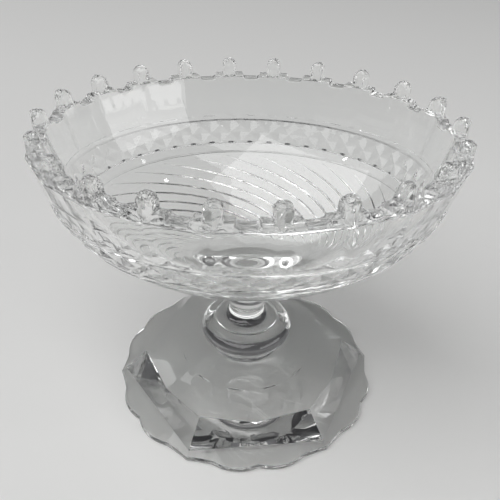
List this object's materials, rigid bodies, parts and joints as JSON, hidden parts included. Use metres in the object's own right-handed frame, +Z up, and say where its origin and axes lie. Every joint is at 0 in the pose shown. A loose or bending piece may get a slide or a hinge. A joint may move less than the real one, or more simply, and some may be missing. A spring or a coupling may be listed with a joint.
{
  "type": "pedestal fruit bowl",
  "caption": "Oval cut-glass fruit bowl with a tabbed rim, flat panels and a diamond band, on a knopped stem and a domed foot with a scalloped edge.",
  "frame": {"origin": "centre of the flat face that the foot stands on", "axes": "+Z up through the stem, +X along the long axis of the oval bowl, +Y away from the viewer"},
  "size_m": [0.264, 0.2102, 0.212],
  "materials": {
    "clear_glass": "polished clear cut glass"
  },
  "bodies": {
    "root": {"bowl": "clear_glass", "upper_collar": "clear_glass", "knop": "clear_glass", "lower_collar": "clear_glass", "foot": "clear_glass"}
  },
  "joints": []
}
